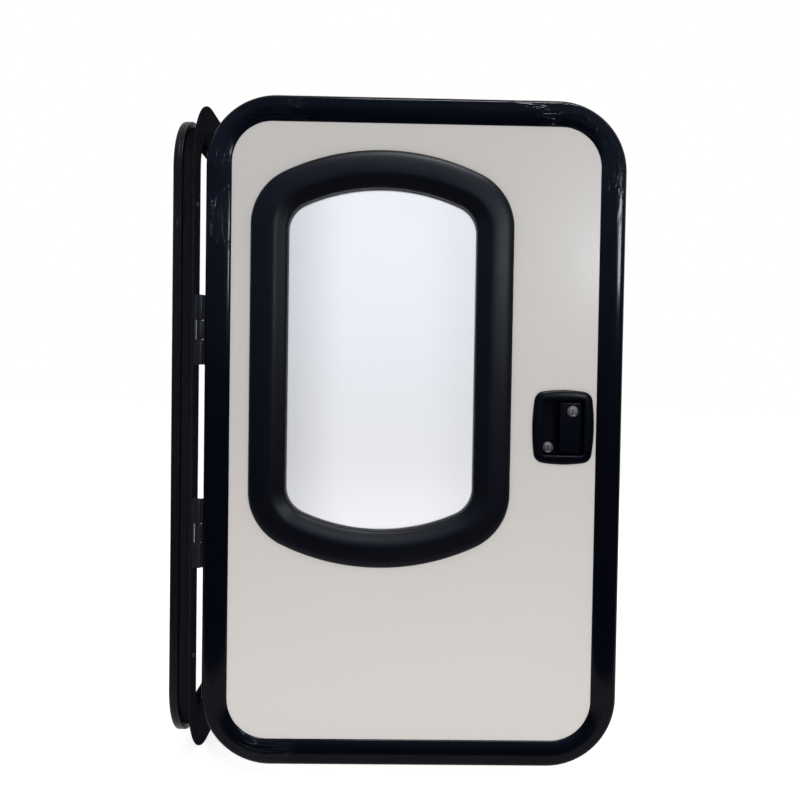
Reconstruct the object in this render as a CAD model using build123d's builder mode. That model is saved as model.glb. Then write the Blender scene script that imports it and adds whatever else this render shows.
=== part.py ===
from build123d import *
import os
from math import sqrt

# Caravan entry door: a hinged leaf with an arched window and a paddle lock, in a clamped wall frame.
# The door stands open at a right angle. The frame lies in the YZ plane with the outside on +X. The open
# leaf runs along +X from the hinges and shows its outer face to -Y. The origin is on the back of the
# frame's flange, in the middle of its lower run.
os.makedirs("parts", exist_ok=True)

# Leaf: outline and edge profile
leaf_width = 700.0
leaf_height = 1120.0
leaf_corner_radius = 117.0
lip_thickness = 10.0
lip_bevel = 5.0
lip_slope_depth = 7.0
lip_slope_width = 20.0
lip_face = 41.5
lip_inner_radius = 68.0
lip_overlap = 34.0
web_thickness = 3.0
return_thickness = 2.5
return_cover = 11.0

# Leaf: sandwich panel
panel_thickness = 27.0
skin_thickness = 2.0
fit_clearance = 0.3

# Frame: flange, jamb, inner clamp ring and its cover
flange_margin = 14.0
flange_thickness = 4.0
flange_bevel = 1.5
lip_gap = 5.5
jamb_gap = 7.0
jamb_wall = 5.0
jamb_depth = 37.0
stop_width = 10.5
seal_height = 11.0
seal_width = 9.5
seal_bevel = 3.0
wall_thickness = 24.0
clamp_overlap = 9.5
cover_thickness = 2.5
cover_bevel = 1.5

# Screw holes through the flange
screw_hole_radius = 2.2
screw_spacing = 760.0

# Hinges
hinge_height = 116.0
hinge_spacing = 340.0
knuckle_radius = 4.5
knuckle_lift = 5.5
knuckle_share = 0.36
knuckle_gap = 0.8
pin_radius = 2.5
pin_clearance = 0.05
leaf_edge_gap = 7.0
hinge_plate_thickness = 2.5
hinge_plate_width = 11.0
hinge_strip_thickness = 2.0

# Window
trim_width = 440.0
trim_height = 699.0
trim_arc_radius = 380.0
trim_corner_radius = 100.0
glass_corner_radius = 48.0
trim_face = 62.0
trim_height_proud = 14.0
trim_edge_width = 10.0
trim_edge_depth = 6.0
trim_slope_width = 22.0
trim_slope_depth = 11.0
window_offset_x = -56.0
window_offset_z = 124.0
rebate_width = 25.0
rebate_depth = 8.0
pane_thickness = 6.0
inner_trim_flange = 26.0
inner_trim_proud = 6.0

# Lock
lock_edge_distance = 97.7
lock_offset_z = 16.0
bezel_width = 104.0
bezel_height = 126.0
bezel_bulge = 5.0
bezel_corner_radius = 17.0
bezel_proud = 8.0
bezel_bevel = 4.5
tray_width = 69.0
tray_height = 93.0
tray_depth = 15.0
tray_wall = 2.0
paddle_width = 38.0
paddle_height = 83.0
paddle_thickness = 9.0
paddle_recess = 2.5
paddle_side_gap = 3.0
paddle_bevel = 2.0
paddle_pin_radius = 2.0
cylinder_radius = 8.5
cylinder_clearance = 0.08
cylinder_proud = 1.2
paddle_cylinder_x = 15.0
paddle_cylinder_z = 27.0
deadbolt_cylinder_x = -23.5
deadbolt_cylinder_z = -35.0
deadbolt_cylinder_length = 9.0
case_height = 112.0
case_thickness = 19.0
faceplate_width = 20.0
faceplate_height = 124.0
bolt_width = 10.0
bolt_height = 26.0
bolt_proud = 1.0
bolt_depth = 15.5
bolt_slot_margin = 2.5
latch_z = 26.0
deadbolt_z = -28.0
strike_width = 20.0
strike_height = 130.0
strike_thickness = 1.5
inner_plate_inset = 3.0
inner_plate_thickness = 4.0
inner_lever_width = 34.0
inner_lever_height = 78.0
inner_lever_thickness = 9.0
thumb_turn_radius = 9.0
thumb_turn_height = 12.0

# Worked-out places
flange_band = flange_margin + lip_overlap - jamb_gap - jamb_wall
centre_z = leaf_height / 2 + flange_margin - flange_band / 2
pin_x = flange_thickness + knuckle_radius + knuckle_lift
pin_y = -(leaf_width / 2 + leaf_edge_gap)
lip_back_closed_x = flange_thickness + lip_gap
panel_front_y = pin_y + pin_x - lip_back_closed_x
leaf_left_x = pin_x + leaf_edge_gap
leaf_centre_x = leaf_left_x + leaf_width / 2
leaf_right_x = leaf_left_x + leaf_width
window_x = leaf_centre_x + window_offset_x
window_z = centre_z + window_offset_z
lock_x = leaf_right_x - lock_edge_distance
lock_z = centre_z + lock_offset_z
jamb_inner_inset = lip_overlap - jamb_gap
jamb_outer_inset = jamb_inner_inset - jamb_wall
clamp_outer_inset = jamb_outer_inset - clamp_overlap
stop_inset = jamb_inner_inset + stop_width
core_thickness = panel_thickness - 2 * skin_thickness
panel_inset = lip_overlap + web_thickness + fit_clearance
cutout_inset = trim_face - rebate_width - fit_clearance
pane_inset = trim_face - rebate_width + fit_clearance
inner_neck_depth = rebate_depth + pane_thickness
closed_bolt_x = lip_back_closed_x - bolt_depth


def leaf_plane(depth, x=leaf_centre_x, z=centre_z):
    """Plane parallel to the open leaf, seen from outside, at a depth behind the panel's face."""
    return Plane(origin=(x, panel_front_y + depth, z), x_dir=(1, 0, 0), z_dir=(0, -1, 0))


def frame_plane(x):
    """Plane parallel to the frame, seen from outside, at a distance from the flange's back."""
    return Plane(origin=(x, 0, centre_z), x_dir=(0, 1, 0), z_dir=(1, 0, 0))


def loop(inset, mode=Mode.ADD):
    """Rounded outline of the leaf, moved inwards all round."""
    RectangleRounded(leaf_width - 2 * inset, leaf_height - 2 * inset, leaf_corner_radius - inset, mode=mode)


def arched_outline(inset):
    """Window outline with straight sides, arched ends and rounded corners, moved inwards."""
    half_width = trim_width / 2 - inset
    half_height = trim_height / 2 - inset
    arc_radius = trim_arc_radius - inset
    side = half_height - arc_radius + sqrt(arc_radius**2 - half_width**2)
    corner_radius = trim_corner_radius + (glass_corner_radius - trim_corner_radius) * inset / trim_face
    with BuildSketch() as outline:
        with BuildLine():
            Line((-half_width, -side), (-half_width, side))
            ThreePointArc((-half_width, side), (0, half_height), (half_width, side))
            Line((half_width, side), (half_width, -side))
            ThreePointArc((half_width, -side), (0, -half_height), (-half_width, -side))
        make_face()
        fillet(outline.vertices(), radius=corner_radius)
    return outline.sketch


def bezel_outline(inset):
    """Lock outline with four bulging sides and rounded corners, moved inwards."""
    half_width = bezel_width / 2 - inset
    half_height = bezel_height / 2 - inset
    corner_x = half_width - bezel_bulge
    corner_z = half_height - bezel_bulge
    with BuildSketch() as outline:
        with BuildLine():
            ThreePointArc((-corner_x, corner_z), (0, half_height), (corner_x, corner_z))
            ThreePointArc((corner_x, corner_z), (half_width, 0), (corner_x, -corner_z))
            ThreePointArc((corner_x, -corner_z), (0, -half_height), (-corner_x, -corner_z))
            ThreePointArc((-corner_x, -corner_z), (-half_width, 0), (-corner_x, corner_z))
        make_face()
        fillet(outline.vertices(), radius=bezel_corner_radius)
    return outline.sketch


trim_outline = arched_outline(0)
glass_outline = arched_outline(trim_face)
rebate_outline = arched_outline(trim_face - rebate_width)
cutout_outline = arched_outline(cutout_inset)
pane_outline = arched_outline(pane_inset)
inner_flange_outline = arched_outline(trim_face - rebate_width - inner_trim_flange)

# Place of the strike plate in the lock side's jamb, and the slots for the two bolts
strike_plane = Plane(
    origin=(closed_bolt_x, leaf_width / 2 - jamb_inner_inset, lock_z),
    x_dir=(1, 0, 0),
    z_dir=(0, -1, 0),
)
bolt_slot_width = bolt_width + 2 * bolt_slot_margin
bolt_slot_height = bolt_height + 2 * bolt_slot_margin

# Outside flange of the frame, with screw holes on the stiles
with BuildPart() as frame_flange:
    with BuildSketch(frame_plane(0)):
        loop(-flange_margin)
        loop(jamb_outer_inset, Mode.SUBTRACT)
        with GridLocations(leaf_width + 2 * flange_margin - flange_band, screw_spacing, 2, 2):
            Circle(screw_hole_radius, mode=Mode.SUBTRACT)
    extrude(amount=flange_thickness)
    front_face = frame_flange.faces().sort_by(Axis.X)[-1]
    chamfer(front_face.outer_wire().edges(), length=flange_bevel)
frame_flange.part.label = "frame_flange"
export_step(frame_flange.part, "parts/frame_flange.step")

# Jamb through the wall, with a pocket for the strike plate and slots for the two bolts
with BuildPart() as frame_jamb:
    with BuildSketch(frame_plane(flange_thickness)):
        loop(jamb_outer_inset)
        loop(jamb_inner_inset, Mode.SUBTRACT)
    extrude(amount=-(flange_thickness + jamb_depth))
    with BuildSketch(strike_plane):
        Rectangle(strike_width, strike_height)
    extrude(amount=-strike_thickness, mode=Mode.SUBTRACT)
    with BuildSketch(strike_plane):
        with Locations((0, latch_z), (0, deadbolt_z)):
            Rectangle(bolt_slot_width, bolt_slot_height)
    extrude(amount=-jamb_wall, mode=Mode.SUBTRACT)
frame_jamb.part.label = "frame_jamb"
export_step(frame_jamb.part, "parts/frame_jamb.step")

# Clamp ring grips the wall from inside
with BuildPart() as clamp_ring:
    with BuildSketch(frame_plane(-wall_thickness)):
        loop(clamp_outer_inset)
        loop(jamb_outer_inset - fit_clearance, Mode.SUBTRACT)
    extrude(amount=wall_thickness - jamb_depth)
clamp_ring.part.label = "clamp_ring"
export_step(clamp_ring.part, "parts/clamp_ring.step")

# Clamp cover closes the jamb's end and makes the stop for the seal
with BuildPart() as clamp_cover:
    with BuildSketch(frame_plane(-jamb_depth)):
        loop(clamp_outer_inset)
        loop(stop_inset, Mode.SUBTRACT)
    extrude(amount=-cover_thickness)
    back_face = clamp_cover.faces().sort_by(Axis.X)[0]
    chamfer(back_face.outer_wire().edges(), length=cover_bevel)
clamp_cover.part.label = "clamp_cover"
export_step(clamp_cover.part, "parts/clamp_cover.step")

# Weather seal on the stop, facing the closed leaf
with BuildPart() as frame_seal:
    with BuildSketch(frame_plane(-jamb_depth)):
        loop(stop_inset - seal_width)
        loop(stop_inset, Mode.SUBTRACT)
    extrude(amount=seal_height)
    seal_face = frame_seal.faces().sort_by(Axis.X)[-1]
    chamfer(seal_face.edges(), length=seal_bevel)
frame_seal.part.label = "frame_seal"
export_step(frame_seal.part, "parts/frame_seal.step")

# Strike plate, flush in the jamb
with BuildPart() as strike_plate:
    with BuildSketch(strike_plane):
        Rectangle(strike_width - 2 * fit_clearance, strike_height - 2 * fit_clearance)
        with Locations((0, latch_z), (0, deadbolt_z)):
            Rectangle(bolt_slot_width, bolt_slot_height, mode=Mode.SUBTRACT)
    extrude(amount=-strike_thickness)
strike_plate.part.label = "strike_plate"
export_step(strike_plate.part, "parts/strike_plate.step")

# Leaf lip: the rounded outer edge that covers the flange when the door is shut
with BuildPart() as leaf_lip:
    with BuildSketch(leaf_plane(-lip_thickness)):
        loop(0)
        RectangleRounded(
            leaf_width - 2 * lip_face,
            leaf_height - 2 * lip_face,
            lip_inner_radius,
            mode=Mode.SUBTRACT,
        )
    extrude(amount=-lip_thickness)
    lip_front = leaf_lip.faces().sort_by(Axis.Y)[0]
    chamfer(lip_front.outer_wire().edges(), length=lip_bevel)
    lip_front = leaf_lip.faces().sort_by(Axis.Y)[0]
    lip_inner_edges = lip_front.inner_wires()[0].edges()
    chamfer(lip_inner_edges, length=lip_slope_width, length2=lip_slope_depth, reference=lip_front)
leaf_lip.part.label = "leaf_lip"
export_step(leaf_lip.part, "parts/leaf_lip.step")

# Leaf channel: holds the panel's edge, with a slot for the lock's faceplate
faceplate_plane = Plane(
    origin=(leaf_right_x - lip_overlap, panel_front_y + bolt_depth, lock_z),
    x_dir=(0, 1, 0),
    z_dir=(1, 0, 0),
)
with BuildPart() as leaf_channel:
    with BuildSketch(leaf_plane(0)):
        loop(lip_overlap)
        loop(lip_overlap + web_thickness, Mode.SUBTRACT)
    extrude(amount=-panel_thickness)
    with BuildSketch(leaf_plane(panel_thickness)):
        loop(lip_overlap)
        loop(lip_overlap + return_cover, Mode.SUBTRACT)
    extrude(amount=-return_thickness)
    with BuildSketch(faceplate_plane):
        Rectangle(faceplate_width, faceplate_height)
    extrude(amount=-web_thickness, mode=Mode.SUBTRACT)
leaf_channel.part.label = "leaf_channel"
export_step(leaf_channel.part, "parts/leaf_channel.step")

# Sandwich panel: outer skin, core and inner skin, cut out for the window and the lock
panel_layers = {
    "outer_skin": (0, skin_thickness),
    "panel_core": (skin_thickness, core_thickness),
    "inner_skin": (skin_thickness + core_thickness, skin_thickness),
}
tray_outer_width = tray_width + 2 * tray_wall
tray_outer_height = tray_height + 2 * tray_wall
case_left_x = lock_x + tray_outer_width / 2 + fit_clearance
case_right_x = leaf_right_x - lip_overlap - web_thickness
case_width = case_right_x - case_left_x
for layer_name, (depth, thickness) in panel_layers.items():
    with BuildPart() as panel_layer:
        with BuildSketch(leaf_plane(depth)):
            loop(panel_inset)
            with Locations((window_offset_x, window_offset_z)):
                add(cutout_outline, mode=Mode.SUBTRACT)
            if layer_name != "inner_skin":
                with Locations((lock_x - leaf_centre_x, lock_offset_z)):
                    Rectangle(
                        tray_outer_width + 2 * fit_clearance,
                        tray_outer_height + 2 * fit_clearance,
                        mode=Mode.SUBTRACT,
                    )
        extrude(amount=-thickness)
        if layer_name == "panel_core":
            with BuildSketch(faceplate_plane):
                Rectangle(case_thickness + 2 * fit_clearance, case_height + 2 * fit_clearance)
            extrude(amount=-(web_thickness + case_width + 2 * fit_clearance), mode=Mode.SUBTRACT)
    panel_layer.part.label = layer_name
    export_step(panel_layer.part, f"parts/{layer_name}.step")

# Window: outer trim, pane and inner trim
with BuildPart() as window_outer_trim:
    with BuildSketch(leaf_plane(-trim_height_proud, window_x, window_z)):
        add(trim_outline)
        add(glass_outline, mode=Mode.SUBTRACT)
    extrude(amount=-trim_height_proud)
    trim_front = window_outer_trim.faces().sort_by(Axis.Y)[0]
    trim_outer_edges = trim_front.outer_wire().edges()
    chamfer(trim_outer_edges, length=trim_edge_width, length2=trim_edge_depth, reference=trim_front)
    trim_front = window_outer_trim.faces().sort_by(Axis.Y)[0]
    trim_inner_edges = trim_front.inner_wires()[0].edges()
    chamfer(trim_inner_edges, length=trim_slope_width, length2=trim_slope_depth, reference=trim_front)
    with BuildSketch(leaf_plane(0, window_x, window_z)):
        add(rebate_outline)
        add(glass_outline, mode=Mode.SUBTRACT)
    extrude(amount=-rebate_depth)
window_outer_trim.part.label = "window_outer_trim"
export_step(window_outer_trim.part, "parts/window_outer_trim.step")

with BuildPart() as window_pane:
    with BuildSketch(leaf_plane(rebate_depth, window_x, window_z)):
        add(pane_outline)
    extrude(amount=-pane_thickness)
window_pane.part.label = "window_pane"
export_step(window_pane.part, "parts/window_pane.step")

with BuildPart() as window_inner_trim:
    with BuildSketch(leaf_plane(panel_thickness, window_x, window_z)):
        add(inner_flange_outline)
        add(glass_outline, mode=Mode.SUBTRACT)
    extrude(amount=-inner_trim_proud)
    with BuildSketch(leaf_plane(inner_neck_depth, window_x, window_z)):
        add(rebate_outline)
        add(glass_outline, mode=Mode.SUBTRACT)
    extrude(amount=inner_neck_depth - panel_thickness)
window_inner_trim.part.label = "window_inner_trim"
export_step(window_inner_trim.part, "parts/window_inner_trim.step")

# Hinges: a plate with two knuckles and a fixed pin on the flange, a strip with one knuckle on the leaf
knuckle_length = hinge_height * knuckle_share
middle_knuckle_length = hinge_height - 2 * knuckle_length - 2 * knuckle_gap
strip_left_x = leaf_left_x - hinge_strip_thickness
plate_right_y = -leaf_width / 2 - fit_clearance
for place, hinge_z in (
    ("upper", centre_z + hinge_spacing / 2),
    ("lower", centre_z - hinge_spacing / 2),
):
    hinge_bottom = Plane(origin=(pin_x, pin_y, hinge_z - hinge_height / 2))
    middle_bottom = hinge_bottom.offset(knuckle_length + knuckle_gap)
    top_bottom = hinge_bottom.offset(hinge_height - knuckle_length)
    plate_centre_y = plate_right_y - hinge_plate_width / 2 - pin_y
    plate_centre_x = flange_thickness + hinge_plate_thickness / 2 - pin_x
    with BuildPart() as hinge_frame_plate:
        with BuildSketch(hinge_bottom):
            with Locations((plate_centre_x, plate_centre_y)):
                Rectangle(hinge_plate_thickness, hinge_plate_width)
        extrude(amount=hinge_height)
        for knuckle_bottom in (hinge_bottom, top_bottom):
            with BuildSketch(knuckle_bottom):
                Circle(knuckle_radius)
                with Locations((-(pin_x - flange_thickness) / 2, 0)):
                    Rectangle(pin_x - flange_thickness, knuckle_radius)
            extrude(amount=knuckle_length)
        with BuildSketch(middle_bottom.offset(-knuckle_gap)):
            Circle(knuckle_radius + knuckle_gap)
        extrude(amount=middle_knuckle_length + 2 * knuckle_gap, mode=Mode.SUBTRACT)
        with BuildSketch(hinge_bottom):
            Circle(pin_radius)
        extrude(amount=hinge_height)
    hinge_frame_plate.part.label = f"{place}_hinge_frame_plate"
    export_step(hinge_frame_plate.part, f"parts/{place}_hinge_frame_plate.step")

    with BuildPart() as hinge_leaf_strip:
        with BuildSketch(Plane(origin=(strip_left_x, panel_front_y, hinge_z - hinge_height / 2))):
            with Locations((hinge_strip_thickness / 2, (lip_bevel - lip_thickness) / 2)):
                Rectangle(hinge_strip_thickness, lip_thickness - lip_bevel)
        extrude(amount=hinge_height)
        with BuildSketch(middle_bottom):
            Circle(knuckle_radius)
            with Locations(((strip_left_x - pin_x) / 2, 0)):
                Rectangle(strip_left_x - pin_x, knuckle_radius)
        extrude(amount=middle_knuckle_length)
        with BuildSketch(middle_bottom):
            Circle(pin_radius + pin_clearance)
        extrude(amount=middle_knuckle_length, mode=Mode.SUBTRACT)
    hinge_leaf_strip.part.label = f"{place}_hinge_leaf_strip"
    export_step(hinge_leaf_strip.part, f"parts/{place}_hinge_leaf_strip.step")

# Lock bezel: a bulging face round the finger tray's mouth
paddle_right_x = tray_width / 2 - paddle_side_gap
paddle_centre_x = paddle_right_x - paddle_width / 2
paddle_axis_x = paddle_right_x - paddle_thickness / 2
paddle_front_depth = paddle_recess - bezel_proud
paddle_axis_depth = paddle_front_depth + paddle_thickness / 2
bezel_face_outline = bezel_outline(0)
inner_plate_outline = bezel_outline(inner_plate_inset)
paddle_axis_plane = Plane(
    origin=(lock_x + paddle_axis_x, panel_front_y + paddle_axis_depth, lock_z - tray_height / 2)
)
with BuildPart() as lock_bezel:
    with BuildSketch(leaf_plane(-bezel_proud, lock_x, lock_z)):
        add(bezel_face_outline)
        Rectangle(tray_width, tray_height, mode=Mode.SUBTRACT)
    extrude(amount=-bezel_proud)
    bezel_front = lock_bezel.faces().sort_by(Axis.Y)[0]
    chamfer(bezel_front.outer_wire().edges(), length=bezel_bevel)
lock_bezel.part.label = "lock_bezel"
export_step(lock_bezel.part, "parts/lock_bezel.step")

# Finger tray behind the bezel, open to the front
with BuildPart() as lock_tray:
    with BuildSketch(leaf_plane(0, lock_x, lock_z)):
        Rectangle(tray_outer_width, tray_outer_height)
    extrude(amount=-(tray_depth + tray_wall))
    with BuildSketch(leaf_plane(0, lock_x, lock_z)):
        Rectangle(tray_width, tray_height)
    extrude(amount=-tray_depth, mode=Mode.SUBTRACT)
    with BuildSketch(leaf_plane(tray_depth, lock_x, lock_z)):
        with Locations((deadbolt_cylinder_x, deadbolt_cylinder_z)):
            Circle(cylinder_radius + cylinder_clearance)
    extrude(amount=-tray_wall, mode=Mode.SUBTRACT)
lock_tray.part.label = "lock_tray"
export_step(lock_tray.part, "parts/lock_tray.step")

# Paddle pin, held by the bezel's end walls
with BuildPart() as paddle_pin:
    with BuildSketch(paddle_axis_plane):
        Circle(paddle_pin_radius)
    extrude(amount=tray_height)
paddle_pin.part.label = "paddle_pin"
export_step(paddle_pin.part, "parts/paddle_pin.step")

# Paddle: pulled out at its left edge, pivots on the pin near its right edge
with BuildPart() as lock_paddle:
    with BuildSketch(leaf_plane(paddle_front_depth, lock_x + paddle_centre_x, lock_z)):
        Rectangle(paddle_width, paddle_height)
    extrude(amount=-paddle_thickness)
    chamfer(lock_paddle.edges().filter_by(Axis.Z), length=paddle_bevel)
    with BuildSketch(leaf_plane(paddle_front_depth, lock_x, lock_z)):
        with Locations((paddle_cylinder_x, paddle_cylinder_z)):
            Circle(cylinder_radius + cylinder_clearance)
    extrude(amount=-paddle_thickness, mode=Mode.SUBTRACT)
    with BuildSketch(paddle_axis_plane):
        Circle(paddle_pin_radius + pin_clearance)
    extrude(amount=tray_height, mode=Mode.SUBTRACT)
lock_paddle.part.label = "lock_paddle"
export_step(lock_paddle.part, "parts/lock_paddle.step")

# Key cylinders: one in the paddle, one in the tray's floor
cylinder_places = (
    ("paddle_cylinder", paddle_cylinder_x, paddle_cylinder_z, paddle_front_depth, paddle_thickness),
    (
        "deadbolt_cylinder",
        deadbolt_cylinder_x,
        deadbolt_cylinder_z,
        tray_depth - deadbolt_cylinder_length,
        deadbolt_cylinder_length + tray_wall,
    ),
)
for cylinder_name, x, z, depth, length in cylinder_places:
    with BuildPart() as key_cylinder:
        with BuildSketch(leaf_plane(depth - cylinder_proud, lock_x + x, lock_z + z)):
            Circle(cylinder_radius)
        extrude(amount=-(length + cylinder_proud))
    key_cylinder.part.label = cylinder_name
    export_step(key_cylinder.part, f"parts/{cylinder_name}.step")

# Lock case, faceplate and the two bolts at the leaf's edge
with BuildPart() as lock_case:
    with BuildSketch(faceplate_plane.offset(-web_thickness)):
        Rectangle(case_thickness, case_height)
    extrude(amount=-case_width)
lock_case.part.label = "lock_case"
export_step(lock_case.part, "parts/lock_case.step")

with BuildPart() as lock_faceplate:
    with BuildSketch(faceplate_plane):
        Rectangle(faceplate_width - 2 * fit_clearance, faceplate_height - 2 * fit_clearance)
        with Locations((0, latch_z), (0, deadbolt_z)):
            Rectangle(bolt_width + 2 * fit_clearance, bolt_height + 2 * fit_clearance, mode=Mode.SUBTRACT)
    extrude(amount=-web_thickness)
lock_faceplate.part.label = "lock_faceplate"
export_step(lock_faceplate.part, "parts/lock_faceplate.step")

for bolt_name, bolt_z in (("latch_bolt", latch_z), ("deadbolt", deadbolt_z)):
    with BuildPart() as bolt:
        with BuildSketch(faceplate_plane.offset(-web_thickness)):
            with Locations((0, bolt_z)):
                Rectangle(bolt_width, bolt_height)
        extrude(amount=web_thickness + bolt_proud)
    bolt.part.label = bolt_name
    export_step(bolt.part, f"parts/{bolt_name}.step")

# Inside of the lock: a cover plate, a lever and a thumb turn
with BuildPart() as lock_inner_plate:
    with BuildSketch(leaf_plane(panel_thickness, lock_x, lock_z)):
        add(inner_plate_outline)
    extrude(amount=-inner_plate_thickness)
lock_inner_plate.part.label = "lock_inner_plate"
export_step(lock_inner_plate.part, "parts/lock_inner_plate.step")

inner_face_depth = panel_thickness + inner_plate_thickness
with BuildPart() as inner_lever:
    with BuildSketch(leaf_plane(inner_face_depth, lock_x + paddle_cylinder_x, lock_z + thumb_turn_radius)):
        Rectangle(inner_lever_width, inner_lever_height)
    extrude(amount=-inner_lever_thickness)
    chamfer(inner_lever.edges().filter_by(Axis.Z), length=paddle_bevel)
inner_lever.part.label = "inner_lever"
export_step(inner_lever.part, "parts/inner_lever.step")

with BuildPart() as thumb_turn:
    with BuildSketch(leaf_plane(inner_face_depth, lock_x, lock_z)):
        with Locations((deadbolt_cylinder_x, deadbolt_cylinder_z)):
            Circle(thumb_turn_radius)
    extrude(amount=-thumb_turn_height)
thumb_turn.part.label = "thumb_turn"
export_step(thumb_turn.part, "parts/thumb_turn.step")
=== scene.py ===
import math

import bmesh
import bpy
from mathutils import Matrix, Vector


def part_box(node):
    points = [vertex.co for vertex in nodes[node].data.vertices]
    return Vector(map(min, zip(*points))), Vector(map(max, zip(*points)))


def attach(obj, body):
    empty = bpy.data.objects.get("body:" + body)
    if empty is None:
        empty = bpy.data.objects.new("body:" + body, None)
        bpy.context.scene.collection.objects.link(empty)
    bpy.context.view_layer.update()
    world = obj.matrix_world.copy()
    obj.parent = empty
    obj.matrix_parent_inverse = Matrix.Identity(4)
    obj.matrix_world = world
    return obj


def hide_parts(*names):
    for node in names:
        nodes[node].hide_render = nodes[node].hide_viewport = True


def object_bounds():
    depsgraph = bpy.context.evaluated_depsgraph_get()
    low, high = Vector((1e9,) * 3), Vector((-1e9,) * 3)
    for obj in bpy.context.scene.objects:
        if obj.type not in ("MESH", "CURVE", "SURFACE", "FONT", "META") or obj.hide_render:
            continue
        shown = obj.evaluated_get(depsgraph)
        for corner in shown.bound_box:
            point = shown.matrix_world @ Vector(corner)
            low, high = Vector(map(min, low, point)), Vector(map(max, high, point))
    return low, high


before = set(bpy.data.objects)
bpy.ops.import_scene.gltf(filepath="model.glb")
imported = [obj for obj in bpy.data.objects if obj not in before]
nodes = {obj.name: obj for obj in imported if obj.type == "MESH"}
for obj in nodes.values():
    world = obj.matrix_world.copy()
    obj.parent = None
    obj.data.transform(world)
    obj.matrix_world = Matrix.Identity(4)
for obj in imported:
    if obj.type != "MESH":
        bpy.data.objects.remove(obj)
cadBox = [list(corner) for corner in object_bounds()]
scene = bpy.context.scene
mm = 0.001
print("frame loaded:", len(nodes), "nodes")


# places read from the CAD nodes

def acrossLeaf(low, high):
    # middle and half size of a box, along X and Z
    return (low.x + high.x) / 2, (low.z + high.z) / 2, (high.x - low.x) / 2, (high.z - low.z) / 2


leafX, leafZ, leafHalfWidth, leafHalfHeight = acrossLeaf(*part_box("leaf_lip"))
windowX, windowZ, windowHalfWidth, windowHalfHeight = acrossLeaf(*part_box("window_outer_trim"))
lockX, lockZ, lockHalfWidth, lockHalfHeight = acrossLeaf(*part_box("lock_bezel"))
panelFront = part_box("outer_skin")[0].y  # plane of the white panel, which looks to -Y
leafCorner = 117 * mm


def onLeaf(centreX, centreZ):
    return lambda u, v, h: Vector((centreX + u, panelFront - h, centreZ + v))


def onFrame(u, v, h):
    return Vector((h, u, leafZ + v))


onLock = onLeaf(lockX, lockZ)
onWindow = onLeaf(windowX, windowZ)


# shader groups and materials

def newGroup(name, inputs, outputs):
    # inputs are labels with their first values, and outputs are numbers
    group = bpy.data.node_groups.new(name, "ShaderNodeTree")
    for label, value in inputs.items():
        kind = "NodeSocketVector" if isinstance(value, tuple) else "NodeSocketFloat"
        group.interface.new_socket(label, in_out="INPUT", socket_type=kind).default_value = value
    for label in outputs:
        group.interface.new_socket(label, in_out="OUTPUT", socket_type="NodeSocketFloat")
    inside, outside = group.nodes.new("NodeGroupInput"), group.nodes.new("NodeGroupOutput")
    return group, inside.outputs, outside.inputs


def addNode(tree, kind, links, **settings):
    # feed a node from other nodes' sockets or constants, and hand back its outputs
    node = tree.nodes.new(kind)
    for name, value in settings.items():
        setattr(node, name, value)
    for socket, source in links.items():
        if isinstance(source, bpy.types.NodeSocket):
            tree.links.new(source, node.inputs[socket])
        else:
            node.inputs[socket].default_value = source
    return node.outputs


def plug(tree, shader, **sources):
    for socket, source in sources.items():
        tree.links.new(source, shader.inputs[socket.replace("_", " ")])


def mathNode(tree, operation, *values, clamp=False):
    settings = {"operation": operation, "use_clamp": clamp}
    return addNode(tree, "ShaderNodeMath", dict(enumerate(values)), **settings)[0]


def times(tree, a, b):
    return mathNode(tree, "MULTIPLY", a, b)


def vectorNode(tree, operation, *values):
    outputs = addNode(tree, "ShaderNodeVectorMath", dict(enumerate(values)), operation=operation)
    return outputs["Value" if operation in ("DOT_PRODUCT", "LENGTH") else "Vector"]


def splitNode(tree, vector):
    return addNode(tree, "ShaderNodeSeparateXYZ", {0: vector})


def noiseNode(tree, vector, scale, detail=2.0, roughness=0.5, distortion=0.0):
    links = {"Vector": vector, "Scale": scale, "Detail": detail, "Roughness": roughness,
             "Distortion": distortion}
    return addNode(tree, "ShaderNodeTexNoise", links)[0]


def cloudNode(tree, vector, *noise, swing=0.3):
    # slow noise about zero
    return mathNode(tree, "MULTIPLY_ADD", noiseNode(tree, vector, *noise), swing, -swing / 2)


def rangeNode(tree, value, low, high, toLow=0.0, toHigh=1.0, smooth=True):
    kind = "SMOOTHSTEP" if smooth else "LINEAR"
    links = {"Value": value, "From Min": low, "From Max": high, "To Min": toLow, "To Max": toHigh}
    return addNode(tree, "ShaderNodeMapRange", links, interpolation_type=kind, clamp=True)[0]


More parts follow.
